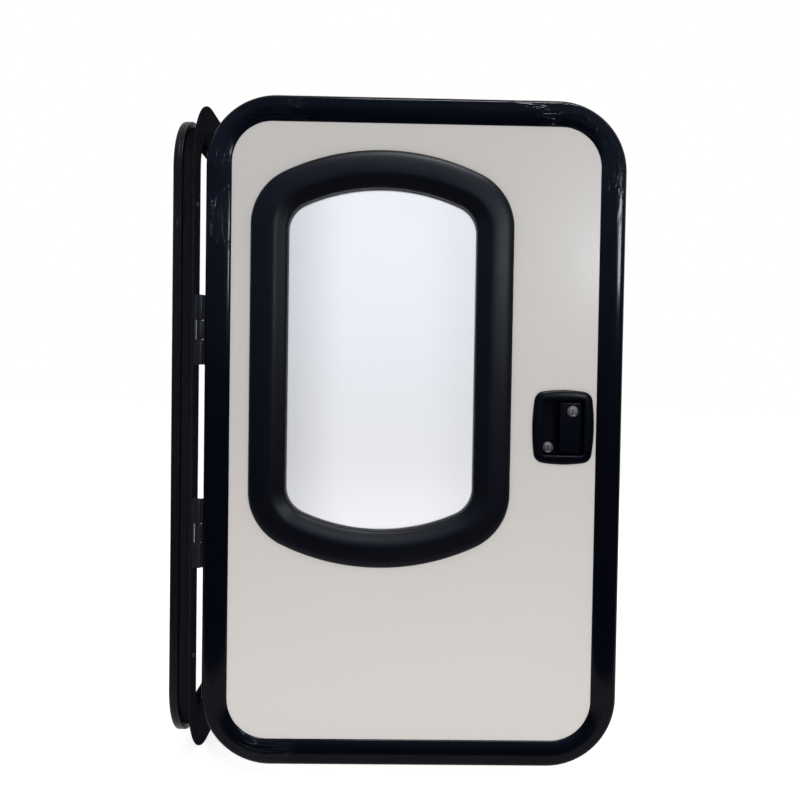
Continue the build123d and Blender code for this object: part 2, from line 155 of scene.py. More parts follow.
def makeFilmGroup():
    # thin film stretched over the profiles: slow waves, and tight creases gathered in patches
    patchScale, patchWidth, foldGain, waveScale, waveHeight = 6.0, 0.1, 16.0, 11.0, 0.25
    inputs = {"Vector": (0, 0, 0), "Crease Scale": 110.0, "Stretch": (1, 1, 0.11), "Patch Start": 0.64,
              "Corner Weight": 0.0}
    group, inside, outside = newGroup("filmCreases", inputs, ("Height", "Patch"))
    vector, patchStart = inside["Vector"], inside["Patch Start"]
    patchNoise = mathNode(group, "ADD", noiseNode(group, vector, patchScale, 1.0), inside["Corner Weight"])
    patchEnd = mathNode(group, "ADD", patchStart, patchWidth)
    patch = rangeNode(group, patchNoise, patchStart, patchEnd)
    stretched = vectorNode(group, "MULTIPLY", vector, inside["Stretch"])
    crease = noiseNode(group, stretched, inside["Crease Scale"], 2.0, 0.45, 0.6)
    fold = mathNode(group, "ABSOLUTE", mathNode(group, "MULTIPLY_ADD", crease, foldGain, -foldGain / 2))
    ridge = mathNode(group, "MAXIMUM", mathNode(group, "SUBTRACT", 1.0, fold), 0.0)
    wave = noiseNode(group, vector, waveScale, 1.0, 0.5, 0.4)
    height = mathNode(group, "MULTIPLY_ADD", wave, waveHeight, times(group, ridge, patch))
    group.links.new(height, outside["Height"])
    group.links.new(patch, outside["Patch"])
    return group


def makeGrainGroup():
    # fine moulded grain with a slow change over the piece
    inputs = {"Vector": (0, 0, 0), "Grain Scale": 900.0, "Low": 0.45, "High": 0.6}
    group, inside, outside = newGroup("mouldedGrain", inputs, ("Height", "Value"))
    grain = noiseNode(group, inside["Vector"], inside["Grain Scale"], 2.0, 0.6)
    slow = noiseNode(group, inside["Vector"], 9.0, 3.0, 0.6)
    group.links.new(grain, outside["Height"])
    group.links.new(rangeNode(group, slow, 0.3, 0.7, inside["Low"], inside["High"]), outside["Value"])
    return group


def makeSpeckGroup():
    # dust specks as a mask
    core, rim = 0.04, 0.14
    inputs = {"Vector": (0, 0, 0), "Speck Scale": 220.0, "Amount": 0.3}
    group, inside, outside = newGroup("dustSpecks", inputs, ("Mask",))
    links = {"Vector": inside["Vector"], "Scale": inside["Speck Scale"]}
    cell = addNode(group, "ShaderNodeTexVoronoi", links)
    speck = rangeNode(group, cell["Distance"], core, rim, 1.0, 0.0)
    chance = addNode(group, "ShaderNodeSeparateColor", {0: cell["Color"]})[0]
    picked = mathNode(group, "GREATER_THAN", inside["Amount"], chance)
    group.links.new(times(group, speck, picked), outside["Mask"])
    return group


filmGroup, grainGroup, speckGroup = makeFilmGroup(), makeGrainGroup(), makeSpeckGroup()


def newMaterial(name, **constants):
    material = bpy.data.materials.new(name)
    material.use_nodes = True
    tree = material.node_tree
    shader = tree.nodes["Principled BSDF"]
    for socket, value in constants.items():
        shader.inputs[socket.replace("_", " ")].default_value = value
    coords = tree.nodes.new("ShaderNodeTexCoord").outputs["Object"]
    return material, tree, shader, coords


def placeGroup(tree, group, coords, **values):
    links = {"Vector": coords, **{socket.replace("_", " "): value for socket, value in values.items()}}
    return addNode(tree, "ShaderNodeGroup", links, node_tree=group)


def mixColour(tree, factor, a, b, blend="MIX"):
    a, b = (side if isinstance(side, bpy.types.NodeSocket) else (*side, 1.0) for side in (a, b))
    links = {0: factor, 6: a, 7: b}
    return addNode(tree, "ShaderNodeMix", links, data_type="RGBA", blend_type=blend)[2]


def addBump(tree, shader, height, strength, distance):
    links = {"Height": height, "Strength": strength, "Distance": distance}
    plug(tree, shader, Normal=addNode(tree, "ShaderNodeBump", links)[0])


def varyRoughness(tree, shader, coords, noise, spread, rough):
    drift = rangeNode(tree, noiseNode(tree, coords, *noise), *spread, *rough)
    plug(tree, shader, Roughness=drift)


# where the film creases, in metres from the corners' centres and from mid height
film = {"run": (-0.12, -0.02), "rise": (-0.2, -0.04), "upper": (-0.1, 0.1), "lowerShare": 0.4,
        "quarterShift": (3.1, 3.1, 7.7), "cornerWeight": 0.2, "depth": 0.8 * mm}


def profileTrack(tree, coords, axis):
    # place across, through and along the rounded leaf (X) or frame (Y), and 1 near its upper corners
    middle = (leafX if axis == "X" else 0.0, 0.0, leafZ)
    corner = (leafHalfWidth - leafCorner, leafHalfWidth - leafCorner, leafHalfHeight - leafCorner)
    place = vectorNode(tree, "SUBTRACT", coords, middle)
    inset = splitNode(tree, vectorNode(tree, "SUBTRACT", vectorNode(tree, "ABSOLUTE", place), corner))
    run, rise = inset[axis], inset["Z"]
    runOut, riseOut = mathNode(tree, "MAXIMUM", run, 0.0), mathNode(tree, "MAXIMUM", rise, 0.0)
    riseSquare = times(tree, riseOut, riseOut)
    across = mathNode(tree, "SQRT", mathNode(tree, "MULTIPLY_ADD", runOut, runOut, riseSquare))
    turn = mathNode(tree, "ARCTAN2", riseOut, runOut)
    climb = mathNode(tree, "MULTIPLY_ADD", turn, leafCorner, mathNode(tree, "MINIMUM", rise, 0.0))
    along = mathNode(tree, "SUBTRACT", climb, mathNode(tree, "MINIMUM", run, 0.0))
    quarter = vectorNode(tree, "DOT_PRODUCT", vectorNode(tree, "SIGN", place), film["quarterShift"])
    depth = mathNode(tree, "ADD", splitNode(tree, coords)["Y" if axis == "X" else "X"], quarter)
    track = addNode(tree, "ShaderNodeCombineXYZ", {0: across, 1: depth, 2: along})[0]
    nearRun = rangeNode(tree, run, *film["run"])
    near = times(tree, nearRun, rangeNode(tree, rise, *film["rise"]))
    upper = rangeNode(tree, splitNode(tree, place)["Z"], *film["upper"], film["lowerShare"])
    return track, times(tree, near, upper)


def filmBlackMaterial(name, dark, dusty, rough, specular, gloss, axis, bump):
    constants = {"Specular_IOR_Level": specular, "Coat_Roughness": 0.08, "Coat_IOR": 1.4}
    material, tree, shader, coords = newMaterial(name, **constants)
    track, near = profileTrack(tree, coords, axis)
    weight = times(tree, near, film["cornerWeight"])
    creases = placeGroup(tree, filmGroup, track, Corner_Weight=weight)
    marks = placeGroup(tree, speckGroup, coords, Speck_Scale=240.0, Amount=0.1)
    colour = mixColour(tree, times(tree, marks["Mask"], 0.4), dark, dusty)
    plug(tree, shader, Base_Color=colour, Coat_Weight=times(tree, creases["Patch"], gloss))
    varyRoughness(tree, shader, coords, (8.0, 3.0, 0.6), (0.3, 0.7), rough)
    addBump(tree, shader, creases["Height"], bump, film["depth"])
    return material


def grainedMaterial(name, dark, light, rough, grainScale, bump, specular, metallic=0.0):
    material, tree, shader, coords = newMaterial(name, Specular_IOR_Level=specular, Metallic=metallic)
    grain = placeGroup(tree, grainGroup, coords, Grain_Scale=grainScale, Low=rough[0], High=rough[1])
    marks = placeGroup(tree, speckGroup, coords, Speck_Scale=300.0, Amount=0.08)
    grainTone = times(tree, grain["Height"], 0.5)
    tone = mathNode(tree, "MAXIMUM", grainTone, times(tree, marks["Mask"], 0.6))
    plug(tree, shader, Base_Color=mixColour(tree, tone, dark, light), Roughness=grain["Value"])
    addBump(tree, shader, grain["Height"], bump, 0.15 * mm)
    return material


def whiteSkinMaterial(name, upper, lower, dust, rough):
    # white sheet with painted shade: darker towards the top and lighter towards the foot, with orange peel
    # and rare specks
    material, tree, shader, coords = newMaterial(name, Specular_IOR_Level=0.2)
    # painted shade: the base colour runs from the lower colour at the foot to the upper colour near the top
    foot, top = leafZ - leafHalfHeight * 1.1, leafZ + leafHalfHeight * 0.3
    height = rangeNode(tree, splitNode(tree, coords)["Z"], foot, top)
    cloud = cloudNode(tree, coords, 1.8, 2.0, 0.4)
    paintedShadeBase = mixColour(tree, mathNode(tree, "ADD", height, cloud, clamp=True), lower, upper)
    marks = placeGroup(tree, speckGroup, coords, Speck_Scale=90.0, Amount=0.02)
    dusty = mixColour(tree, times(tree, marks["Mask"], 0.2), paintedShadeBase, dust)
    plug(tree, shader, Base_Color=dusty)
    varyRoughness(tree, shader, coords, (3.0, 2.0, 0.5), (0.3, 0.7), rough)
    peel = times(tree, noiseNode(tree, coords, 190.0, 2.0, 0.5), 0.05)
    addBump(tree, shader, mathNode(tree, "ADD", peel, noiseNode(tree, coords, 3.0, 1.0)), 0.08, 1.5 * mm)
    return material


def paneMaterial(name, lower, upper, rough):
    # hazy acrylic, cool, with a painted glow brightest in the upper middle and painted shade dimmer at the
    # sides
    constants = {"Transmission_Weight": 1.0, "IOR": 1.15, "Specular_IOR_Level": 0.3}
    material, tree, shader, coords = newMaterial(name, **constants)
    links = {"Vector": coords, "Location": (-windowX, 0.0, -windowZ)}
    local = splitNode(tree, addNode(tree, "ShaderNodeMapping", links)[0])
    # painted highlight: the colour brightens upwards from the lower colour to the upper colour
    height = rangeNode(tree, local["Z"], -0.28, 0.22)
    haze = cloudNode(tree, coords, 3.0, 2.0, 0.5)
    hazeAndPaintedGlow = mixColour(tree, mathNode(tree, "ADD", height, haze, clamp=True), lower, upper)
    # painted shade: both sides are darkened by multiplying with grey
    paintedLeftShade = rangeNode(tree, local["X"], -0.165, -0.05, 0.76)
    paintedRightShade = rangeNode(tree, local["X"], 0.06, 0.165, 1.0, 0.9)
    paintedSideShade = times(tree, paintedLeftShade, paintedRightShade)
    paintedShadeGrey = addNode(tree, "ShaderNodeCombineColor", {0: paintedSideShade, 1: paintedSideShade, 2: paintedSideShade})[0]
    plug(tree, shader, Base_Color=mixColour(tree, 1.0, hazeAndPaintedGlow, paintedShadeGrey, "MULTIPLY"))
    varyRoughness(tree, shader, coords, (20.0, 3.0, 0.6), (0.35, 0.75), rough)
    return material


materials = {
    "edge": filmBlackMaterial(
        "wrappedBlackEdge", (0.0014, 0.0019, 0.0045), (0.01, 0.01, 0.012),
        rough=(0.12, 0.18), specular=0.09, gloss=0.12, axis="X", bump=0.6),
    "frame": filmBlackMaterial(
        "wrappedBlackFrame", (0.0045, 0.005, 0.0075), (0.01, 0.01, 0.012),
        rough=(0.3, 0.4), specular=0.09, gloss=0.02, axis="Y", bump=1.0),
    "flange": filmBlackMaterial(
        "wrappedBlackFlange", (0.0105, 0.011, 0.0145), (0.02, 0.02, 0.022),
        rough=(0.4, 0.5), specular=0.0, gloss=0.0, axis="Y", bump=1.0),
    "trim": grainedMaterial(
        "blackMoulding", (0.0014, 0.0018, 0.0042), (0.003, 0.0036, 0.0066),
        rough=(0.36, 0.44), grainScale=1100.0, bump=0.3, specular=0.11),
    # the skin's first colour is painted shade near the top, the second the lighter foot
    "skin": whiteSkinMaterial(
        "whitePanelSkin", (0.545, 0.53, 0.513), (0.735, 0.71, 0.69), (0.42, 0.41, 0.40), rough=(0.3, 0.38)),
    # pane colours: a painted glow from the dimmer lower colour to the brighter upper one
    "pane": paneMaterial("hazyAcrylicPane", (0.745, 0.755, 0.79), (0.86, 0.885, 0.945), rough=(0.42, 0.5)),
    "lock": grainedMaterial(
        "satinLockBlack", (0.001, 0.0014, 0.0036), (0.0022, 0.0028, 0.0055),
        rough=(0.24, 0.32), grainScale=700.0, bump=0.15, specular=0.06),
    "key": grainedMaterial(
        "satinNickel", (0.115, 0.106, 0.103), (0.165, 0.152, 0.146),
        rough=(0.52, 0.62), grainScale=420.0, bump=0.15, specular=0.5, metallic=1.0),
    "steel": grainedMaterial(
        "zincPlate", (0.44, 0.44, 0.45), (0.6, 0.6, 0.6),
        rough=(0.26, 0.42), grainScale=500.0, bump=0.15, specular=0.5, metallic=1.0),
    "screw": grainedMaterial(
        "blackScrew", (0.006, 0.006, 0.008), (0.02, 0.02, 0.022),
        rough=(0.3, 0.45), grainScale=500.0, bump=0.15, specular=0.2),
    "rubber": grainedMaterial(
        "sealRubber", (0.003, 0.003, 0.0035), (0.008, 0.008, 0.008),
        rough=(0.62, 0.8), grainScale=650.0, bump=0.4, specular=0.0),
    "hinge": grainedMaterial(
        "hingeCoat", (0.008, 0.0085, 0.012), (0.018, 0.018, 0.022),
        rough=(0.34, 0.48), grainScale=480.0, bump=0.25, specular=0.15),
    "foam": grainedMaterial(
        "rigidFoam", (0.62, 0.56, 0.4), (0.74, 0.69, 0.55),
        rough=(0.8, 0.92), grainScale=420.0, bump=0.7, specular=0.2),
}
print("materials:", len(materials))


# mesh helpers

def addObject(name, data):
    thing = bpy.data.objects.new(name, data)
    scene.collection.objects.link(thing)
    return thing


def cleanMesh(mesh):
    work = bmesh.new()
    work.from_mesh(mesh)
    bmesh.ops.remove_doubles(work, verts=work.verts, dist=0.002 * mm)
    bmesh.ops.recalc_face_normals(work, faces=work.faces)
    work.to_mesh(mesh)
    work.free()


def newPiece(name, mesh, body, material, replaced=(), smoothAngle=38):
    cleanMesh(mesh)
    mesh.shade_smooth()
    mesh.set_sharp_from_angle(angle=math.radians(smoothAngle))
    mesh.materials.clear()
    mesh.materials.append(materials[material])
    piece = addObject(name, mesh)
    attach(piece, body)
    if replaced:
        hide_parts(*replaced)


def meshFrom(name, points, faces):
    mesh = bpy.data.meshes.new(name)
    mesh.from_pydata([tuple(p) for p in points], [], faces)
    mesh.validate()
    return mesh


def gridFaces(rows, columns, closedColumns=True, capped=False):
    # rows close to a ring, unless both ends are capped
    faces = []
    for i in range(rows - 1 if capped else rows):
        for j in range(columns if closedColumns else columns - 1):
            a, b = i * columns + j, i * columns + (j + 1) % columns
            c, d = ((i + 1) % rows) * columns + (j + 1) % columns, ((i + 1) % rows) * columns + j
            faces.append((a, b, c, d))
    if capped:
        faces += [tuple(reversed(range(columns))), tuple(range((rows - 1) * columns, rows * columns))]
    return faces


def smoothSection(points, steps=3, closed=True):
    # curve through the drawn points, with a corner where a point has a third number
    count, out = len(points), []
    for i in range(count if closed else count - 1):
        p1, p2 = points[i], points[(i + 1) % count]
        p0 = p1 if len(p1) > 2 or (i == 0 and not closed) else points[i - 1]
        p3 = p2 if len(p2) > 2 or (i == count - 2 and not closed) else points[(i + 2) % count]
        straight = len(p1) > 2 and len(p2) > 2
        for k in range(1 if straight else steps):
            t = k / steps
            out.append(tuple(
                0.5 * (2 * p1[n] + (p2[n] - p0[n]) * t
                       + (2 * p0[n] - 5 * p1[n] + 4 * p2[n] - p3[n]) * t ** 2
                       + (3 * p1[n] - p0[n] - 3 * p2[n] + p3[n]) * t ** 3) for n in (0, 1)))
    return out if closed else out + [tuple(points[-1][:2])]


def roundedOutline(halfWidth, halfHeight, radius, steps):
    points = []
    for quarter, (sx, sz) in enumerate(((1, 1), (-1, 1), (-1, -1), (1, -1))):
        for k in range(steps + 1):
            angle = math.radians(90 * (quarter + k / steps))
            points.append((sx * (halfWidth - radius) + radius * math.cos(angle),
                           sz * (halfHeight - radius) + radius * math.sin(angle)))
    return points


def archedOutline(halfWidth, halfHeight, corner, arc, steps):
    # straight sides, arched ends and rounded corners
    cx = halfWidth - corner
    arcCentre = halfHeight - arc
    cz = arcCentre + math.sqrt((arc - corner) ** 2 - cx ** 2)
    meet = math.atan2(cz - arcCentre, cx)
    half, full = math.pi, 2 * math.pi
    spans = [
        (cx, cz, corner, 0, meet), (0, arcCentre, arc, meet, half - meet),
        (-cx, cz, corner, half - meet, half), (-cx, -cz, corner, half, half + meet),
        (0, -arcCentre, arc, half + meet, full - meet), (cx, -cz, corner, full - meet, full),
    ]
    points = []
    for u, v, r, a, b in spans:
        for k in range(steps + 1):
            angle = a + (b - a) * k / steps
            points.append((u + r * math.cos(angle), v + r * math.sin(angle)))
    return points


def rayOutline(beyond, reach, steps):
    # outline read off by rays from the middle, where beyond tells how far outside a point is
    points = []
    for k in range(steps):
        angle = 2 * math.pi * k / steps
        near, far = 0.0, reach
        for _ in range(45):
            middle = (near + far) / 2
            if beyond(abs(math.cos(angle)) * middle, abs(math.sin(angle)) * middle) > 0:
                far = middle
            else:
                near = middle
        points.append((near * math.cos(angle), near * math.sin(angle)))
    return points


def boxOutline(halfWidth, halfHeight, radius, steps):
    def beyond(u, v):
        du, dv = u - halfWidth + radius, v - halfHeight + radius
        return math.hypot(max(du, 0), max(dv, 0)) + min(max(du, dv), 0) - radius

    return rayOutline(beyond, halfWidth + halfHeight, steps)


def bulgedOutline(halfWidth, halfHeight, bulge, corner, steps):
    # four bulging sides with rounded corners, whose arcs have their centres beyond the middle
    def arcRadius(half):
        return ((half - bulge) ** 2 + bulge ** 2) / (2 * bulge)

    sideRadius, endRadius = arcRadius(halfHeight), arcRadius(halfWidth)
    sideBack, endBack = sideRadius - halfWidth, endRadius - halfHeight
    low, high = 0.0, halfWidth
    for _ in range(50):
        cornerU = (low + high) / 2
        cornerV = math.sqrt((endRadius - corner) ** 2 - cornerU ** 2) - endBack
        if math.hypot(cornerU + sideBack, cornerV) > sideRadius - corner:
            high = cornerU
        else:
            low = cornerU

    def beyond(u, v):
        pastSide = (cornerU + sideBack) * v - cornerV * (u + sideBack) > 0
        pastEnd = (cornerV + endBack) * u - cornerU * (v + endBack) > 0
        if pastSide and pastEnd:
            return math.hypot(u - cornerU, v - cornerV) - corner
        return max(math.hypot(u + sideBack, v) - sideRadius, math.hypot(u, v + endBack) - endRadius)

    return rayOutline(beyond, halfWidth + halfHeight, steps)


def sweptRing(name, outer, inner, reach, section, place):
    # section is (inset, height) in mm, and reach is the inset at the inner outline
    points = []
    for (u0, v0), (u1, v1) in zip(outer, inner):
        for inset, height in section:
            t = inset / reach
            points.append(place(u0 + (u1 - u0) * t, v0 + (v1 - v0) * t, height * mm))
    return meshFrom(name, points, gridFaces(len(outer), len(section)))


def dome(name, outline, section, place):
    # rings of the outline, drawn in towards its middle by each inset in mm, closed at both ends
    points = []
    for inset, height in section:
        for u, v in outline:
            scale = 1 - inset * mm / math.hypot(u, v)
            points.append(place(u * scale, v * scale, height * mm))
    return meshFrom(name, points, gridFaces(len(section), len(outline), capped=True))


def roundedBox(name, low, high, bevel, segments=3):
    work = bmesh.new()
    bmesh.ops.create_cube(work, size=1.0)
    size, centre = Vector(high) - Vector(low), (Vector(high) + Vector(low)) / 2
    for vertex in work.verts:
        vertex.co = Vector(a * b for a, b in zip(vertex.co, size)) + centre
    edges = list(work.edges)
    bmesh.ops.bevel(work, geom=edges, offset=bevel, segments=segments, profile=0.5, affect="EDGES")
    mesh = bpy.data.meshes.new(name)
    work.to_mesh(mesh)
    work.free()
    return mesh


def turned(name, profile, centre, axis, steps, ring=False):
    # profile is (radius, height) in mm, from the axis and back to it, or a closed ring
    along = Vector(axis).normalized()
    side = along.orthogonal().normalized()
    other = along.cross(side)
    points = []
    for k in range(steps):
        angle = 2 * math.pi * k / steps
        ray = side * math.cos(angle) + other * math.sin(angle)
        points += [Vector(centre) + ray * radius * mm + along * height * mm for radius, height in profile]
    return meshFrom(name, points, gridFaces(steps, len(profile), ring))


def joinMeshes(name, meshes):
    work = bmesh.new()
    for mesh in meshes:
        work.from_mesh(mesh)
        bpy.data.meshes.remove(mesh)
    joined = bpy.data.meshes.new(name)
    work.to_mesh(joined)
    work.free()
    return joined


def finishedMesh(thing):
    # the mesh that an object's modifiers leave
    return bpy.data.meshes.new_from_object(thing.evaluated_get(bpy.context.evaluated_depsgraph_get()))


def carve(mesh, cutter):
    # cut one closed shape out of another
    holders = []
    for label, data in (("carved", mesh), ("cutter", cutter)):
        cleanMesh(data)
        holders.append(addObject(label, data))
    modifier = holders[0].modifiers.new("cut", "BOOLEAN")
    modifier.operation, modifier.solver, modifier.object = "DIFFERENCE", "EXACT", holders[1]
    carved = finishedMesh(holders[0])
    for holder in holders:
        bpy.data.objects.remove(holder)
    return carved


def dress(material, *names):
    for name in names:
        mesh = nodes[name].data
        mesh.materials.clear()
        mesh.materials.append(materials[material])


# leaf edge: a broad rounded profile, highest near its outer side, running down to the panel
leafEdge = {
    "innerCorner": 68 * mm, "face": 41.5, "cornerSteps": 30,
    "section": [
        (0.2, 0.0, 1), (0, 0.8), (0.1, 3.6), (1.0, 6.2), (2.9, 8.2), (5.0, 9.4), (8, 9.88), (11.5, 9.95),
        (15, 9.9), (19, 9.45), (24, 8.3), (30, 6.6), (35, 4.8), (38.6, 3.2), (40.4, 2.0), (41.2, 1.0),
        (41.5, 0.0, 1)],
}


def leafOutline(inset, corner):
    return roundedOutline(leafHalfWidth - inset, leafHalfHeight - inset, corner, leafEdge["cornerSteps"])


leafOuter = leafOutline(0.0, leafCorner)
leafInner = leafOutline(leafEdge["face"] * mm, leafEdge["innerCorner"])
edgeMesh = sweptRing("leafEdge", leafOuter, leafInner, leafEdge["face"], smoothSection(leafEdge["section"]),
                     onLeaf(leafX, leafZ))
newPiece("leafEdge", edgeMesh, "leaf", "edge", ["leaf_lip"], smoothAngle=50)

# window: outer moulding with a broad face and a wide inner slope, and the flatter moulding inside
window = {"corner": 100 * mm, "arc": 380 * mm, "glassCorner": 48 * mm, "face": 62.0, "steps": 22}
mouldings = {
    "windowMoulding": {
        "section": [
            (0.5, 0.05, 1), (0, 0.8), (0.2, 3.4), (1.2, 6.0), (3.2, 8.2), (6.5, 10.0), (12, 11.6),
            (20, 12.9), (29, 13.8), (35, 14.0), (39, 13.6), (42.5, 12.3), (46.5, 10.2), (52, 7.0),
            (57, 4.2), (60, 2.2), (61.4, 0.0), (61.9, -3.5), (62, -7.95, 1), (37.2, -7.95, 1),
            (37.2, 0.05, 1)],
        "replaces": ["window_outer_trim"]},
    "innerWindowMoulding": {
        "section": [
            (11, -27.05, 1), (11, -28.4), (11.8, -30.6), (14.5, -32.3), (20, -32.9), (40, -32.6),
            (52, -31.4), (58.6, -29.2), (61, -25.6), (61.8, -20), (62, -14.05, 1), (37.2, -14.05, 1),
            (37.2, -27.05, 1)],
        "replaces": ["window_inner_trim"]},
}
face = window["face"] * mm
windowOuter = archedOutline(windowHalfWidth, windowHalfHeight, window["corner"], window["arc"],
                            window["steps"])
windowInner = archedOutline(windowHalfWidth - face, windowHalfHeight - face, window["glassCorner"],
                            window["arc"] - face, window["steps"])
for name, moulding in mouldings.items():
    section = smoothSection(moulding["section"])
    mouldingMesh = sweptRing(name, windowOuter, windowInner, window["face"], section, onWindow)
    newPiece(name, mouldingMesh, "leaf", "trim", moulding["replaces"], smoothAngle=50)
print("leaf edge and window mouldings made")

# wall frame: flange, clamp ring with its cover, bulb seal
coverLow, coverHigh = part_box("clamp_cover")
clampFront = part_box("clamp_ring")[1].x / mm
clampBack, coverBack, sealFront = coverHigh.x / mm, coverLow.x / mm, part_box("frame_seal")[1].x / mm
screwGroove = 1.6
ringReach = 40.0
frameRings = {
    "frameFlange": {
        "section": [
            (22, 0.0, 1), (22, 4.0, 1), (6, 4.0), (1, 3.9), (-3, 3.5), (-5.2, 3.0), (-7, 3.3),
            (-9.6, 3.95), (-12, 3.7), (-13.6, 2.7), (-14, 1.4), (-13.6, 0.3), (-12.6, 0.0, 1)],
        "material": "flange", "slot": "black_profile", "replaces": ["frame_flange"]},
    "clampFrame": {
        "section": [
            (21.7, clampFront - 0.05, 1), (13.6, clampFront - 0.05, 1), (12.7, clampFront - 0.8),
            (12.5, clampFront - 2.2), (12.5, clampFront - 4.6), (13.2, clampFront - 5.4),
            (12.5, clampFront - 6.2), (12.5, coverBack + 3.8), (13.0, coverBack + 1.6),
            (14.6, coverBack + 0.3), (17, coverBack), (20.2, coverBack, 1),
            (20.6, coverBack + screwGroove, 1), (29.4, coverBack + screwGroove, 1), (29.8, coverBack, 1),
            (33, coverBack), (36, coverBack + 0.3), (37.3, coverBack + 1.2), (37.5, clampBack - 0.05, 1),
            (21.7, clampBack - 0.05, 1)],
        "material": "frame", "slot": "black_profile", "replaces": ["clamp_ring", "clamp_cover"]},
    "bulbSeal": {
        "section": [
            (28, clampBack + 0.05, 1), (28, clampBack + 1.8), (29.2, clampBack + 2.6),
            (28.4, clampBack + 4.2), (28.1, clampBack + 6.2), (29.2, sealFront - 1.9),
            (32, sealFront - 0.2), (34.6, sealFront - 0.4), (36.6, sealFront - 2.2),
            (37.4, clampBack + 6.2), (37.0, clampBack + 4.2), (36.2, clampBack + 2.6),
            (37.5, clampBack + 1.8), (37.5, clampBack + 0.05, 1)],
        "material": "rubber", "slot": "seal_rubber", "replaces": ["frame_seal"]},
}
ringInner = leafOutline(ringReach * mm, leafCorner - ringReach * mm)
for name, ring in frameRings.items():
    ringMesh = sweptRing(name, leafOuter, ringInner, ringReach, smoothSection(ring["section"]), onFrame)
    newPiece(name, ringMesh, "frame", ring["material"], ring["replaces"], smoothAngle=45)
print("wall frame rings made")

# hinges: turned knuckles, a plate on the flange, and a strip with a cover tongue on the leaf's edge
hinge = {"knuckle": 4.5, "round": 0.7, "steps": 40, "plateRound": 0.6, "plateDepth": 2.5, "share": 0.36,
         "gap": 0.8, "pin": 2.4, "pinSteps": 24, "webRound": 0.4, "webLap": 0.5, "stripDepth": 2.0,
         "stripWidth": 5.0, "stripRound": 0.4, "tongueReach": 1.3, "tongueDepth": 0.9, "tongueRound": 0.2}
upright = (0, 0, 1)
for place in ("upper", "lower"):
    frameLow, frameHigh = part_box(place + "_hinge_frame_plate")
    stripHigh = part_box(place + "_hinge_leaf_strip")[1]
    r, soft = hinge["knuckle"], hinge["round"]
    pinX, pinY = frameHigh.x - r * mm, frameLow.y + r * mm
    foot, length = frameLow.z, (frameHigh.z - frameLow.z) / mm
    share, gap = hinge["share"] * length, hinge["gap"]
    leafFoot, leafTop = share + gap, length - share - gap

    def knuckle(bottom, top):
        profile = [(0, bottom), (r - soft, bottom), (r - soft * 0.3, bottom + soft * 0.3), (r, bottom + soft),
                   (r, top - soft), (r - soft * 0.3, top - soft * 0.3), (r - soft, top), (0, top)]
        return turned("knuckle", profile, (pinX, pinY, foot), upright, hinge["steps"])

    def web(fromX, toX, bottom, top):
        half = r * mm / 2
        low, high = (fromX, pinY - half, foot + bottom * mm), (toX, pinY + half, foot + top * mm)
        return roundedBox("web", low, high, hinge["webRound"] * mm, 2)

    def bar(fromX, width, bevel):
        low, high = (fromX, panelFront - width * mm, foot), (stripHigh.x, panelFront, frameHigh.z)
        return roundedBox("bar", low, high, bevel * mm, 2)

    plateHigh = (frameLow.x + hinge["plateDepth"] * mm, frameHigh.y, frameHigh.z)
    blocks = [roundedBox("plate", frameLow, plateHigh, hinge["plateRound"] * mm)]
    for bottom, top in ((0, share), (length - share, length)):
        blocks += [knuckle(bottom, top), web(frameLow.x, pinX, bottom, top)]
    pinProfile = [(0, 0), (hinge["pin"], 0), (hinge["pin"], length), (0, length)]
    blocks.append(turned("pin", pinProfile, (pinX, pinY, foot), upright, hinge["pinSteps"]))
    newPiece(place + "HingeFrameHalf", joinMeshes("hingeFrame", blocks), "frame", "hinge",
             [place + "_hinge_frame_plate"])
    stripX = stripHigh.x - hinge["stripDepth"] * mm
    blocks = [bar(stripX, hinge["stripWidth"], hinge["stripRound"]),
              bar(stripX - hinge["tongueReach"] * mm, hinge["tongueDepth"], hinge["tongueRound"]),
              knuckle(leafFoot, leafTop), web(pinX, stripX + hinge["webLap"] * mm, leafFoot, leafTop)]
    newPiece(place + "HingeLeafHalf", joinMeshes("hingeLeaf", blocks), "leaf", "hinge",
             [place + "_hinge_leaf_strip"])
print("hinges made")

# lock: domed bezel round the finger tray, with insets in hundredths of the way to the mouth
lock = {"bulge": 5 * mm, "corner": 17 * mm, "mouthHalves": (34.5 * mm, 46.5 * mm), "mouthCorner": 5 * mm,
        "footCorner": 0.4 * mm, "rays": 144, "trayDepth": 15.0, "trayWall": 2.0,
        "traySteps": 8, "keySeat": 1.3, "keySteps": 64, "roundSteps": 56, "leverCorner": 8 * mm,
        "leverRays": 96}
bezelSection = [(0, 0.0, 1), (0, 1.2), (0.8, 2.9), (4, 4.4), (12, 5.6), (28, 6.8), (50, 7.6), (72, 7.95),
                (84, 7.85), (92, 7.3), (97, 6.1), (99.5, 4.0), (100, 0.0, 1)]


def lockPiece(name, mesh, node, body="leaf", smoothAngle=40):
    newPiece(name, mesh, body, "lock", [node], smoothAngle)


bezelOuter = bulgedOutline(lockHalfWidth, lockHalfHeight, lock["bulge"], lock["corner"], lock["rays"])
mouth = boxOutline(*lock["mouthHalves"], lock["mouthCorner"], lock["rays"])
bezelMesh = sweptRing("lockBezel", bezelOuter, mouth, 100.0, smoothSection(bezelSection), onLock)
lockPiece("lockBezel", bezelMesh, "lock_bezel", smoothAngle=55)

